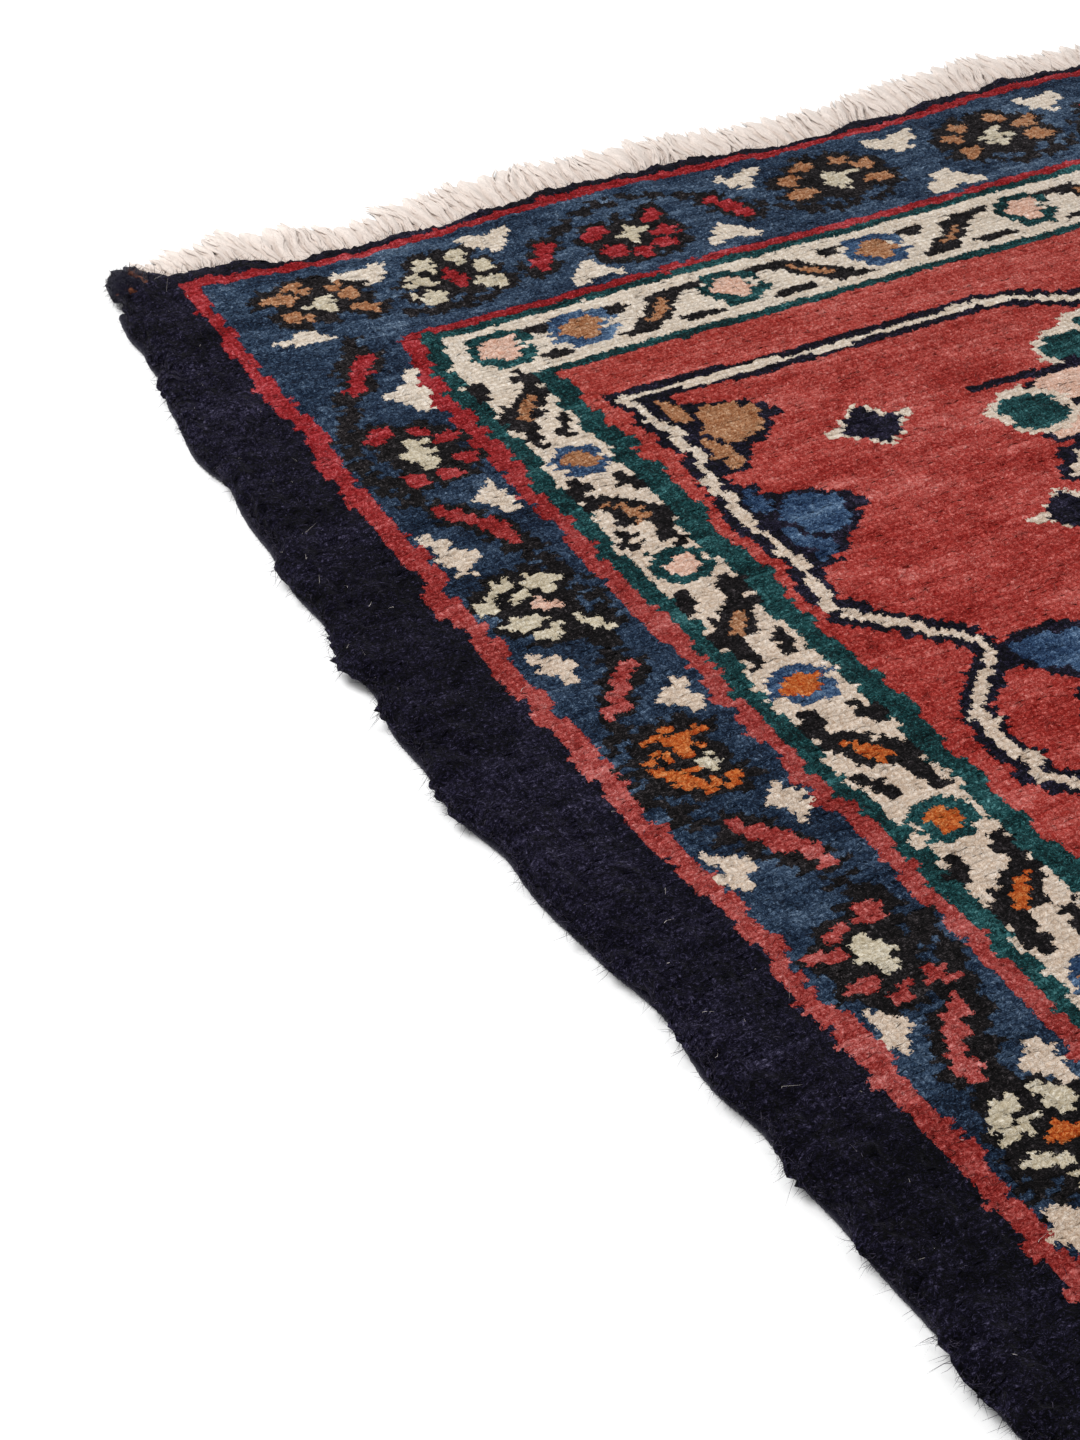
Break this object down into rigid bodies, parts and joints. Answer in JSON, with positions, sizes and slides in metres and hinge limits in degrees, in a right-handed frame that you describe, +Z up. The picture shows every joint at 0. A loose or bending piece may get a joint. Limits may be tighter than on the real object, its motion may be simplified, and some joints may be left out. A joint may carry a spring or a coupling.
{
  "type": "hand-knotted wool persian rug with fringed ends",
  "caption": "Thick hand-knotted wool rug lying flat, with overcast side cords and a short cotton warp fringe at each end.",
  "frame": {"origin": "middle of the rug's outline, on the floor it lies on", "axes": "+Z up out of the pile, +Y along the rug's length, +X across it"},
  "size_m": [1.0386, 1.6566, 0.014],
  "materials": {
    "pile_wool": "cut wool pile, knotted in red, blue, green, ochre, cream and near black",
    "cord_wool": "dark navy wool wrapped round a cord",
    "fringe_cotton": "undyed cotton warp ends, loosely twisted"
  },
  "bodies": {
    "root": {"pile": "pile_wool", "side_cord_left": "cord_wool", "side_cord_right": "cord_wool", "fringe_far": "fringe_cotton", "fringe_near": "fringe_cotton"}
  },
  "joints": []
}
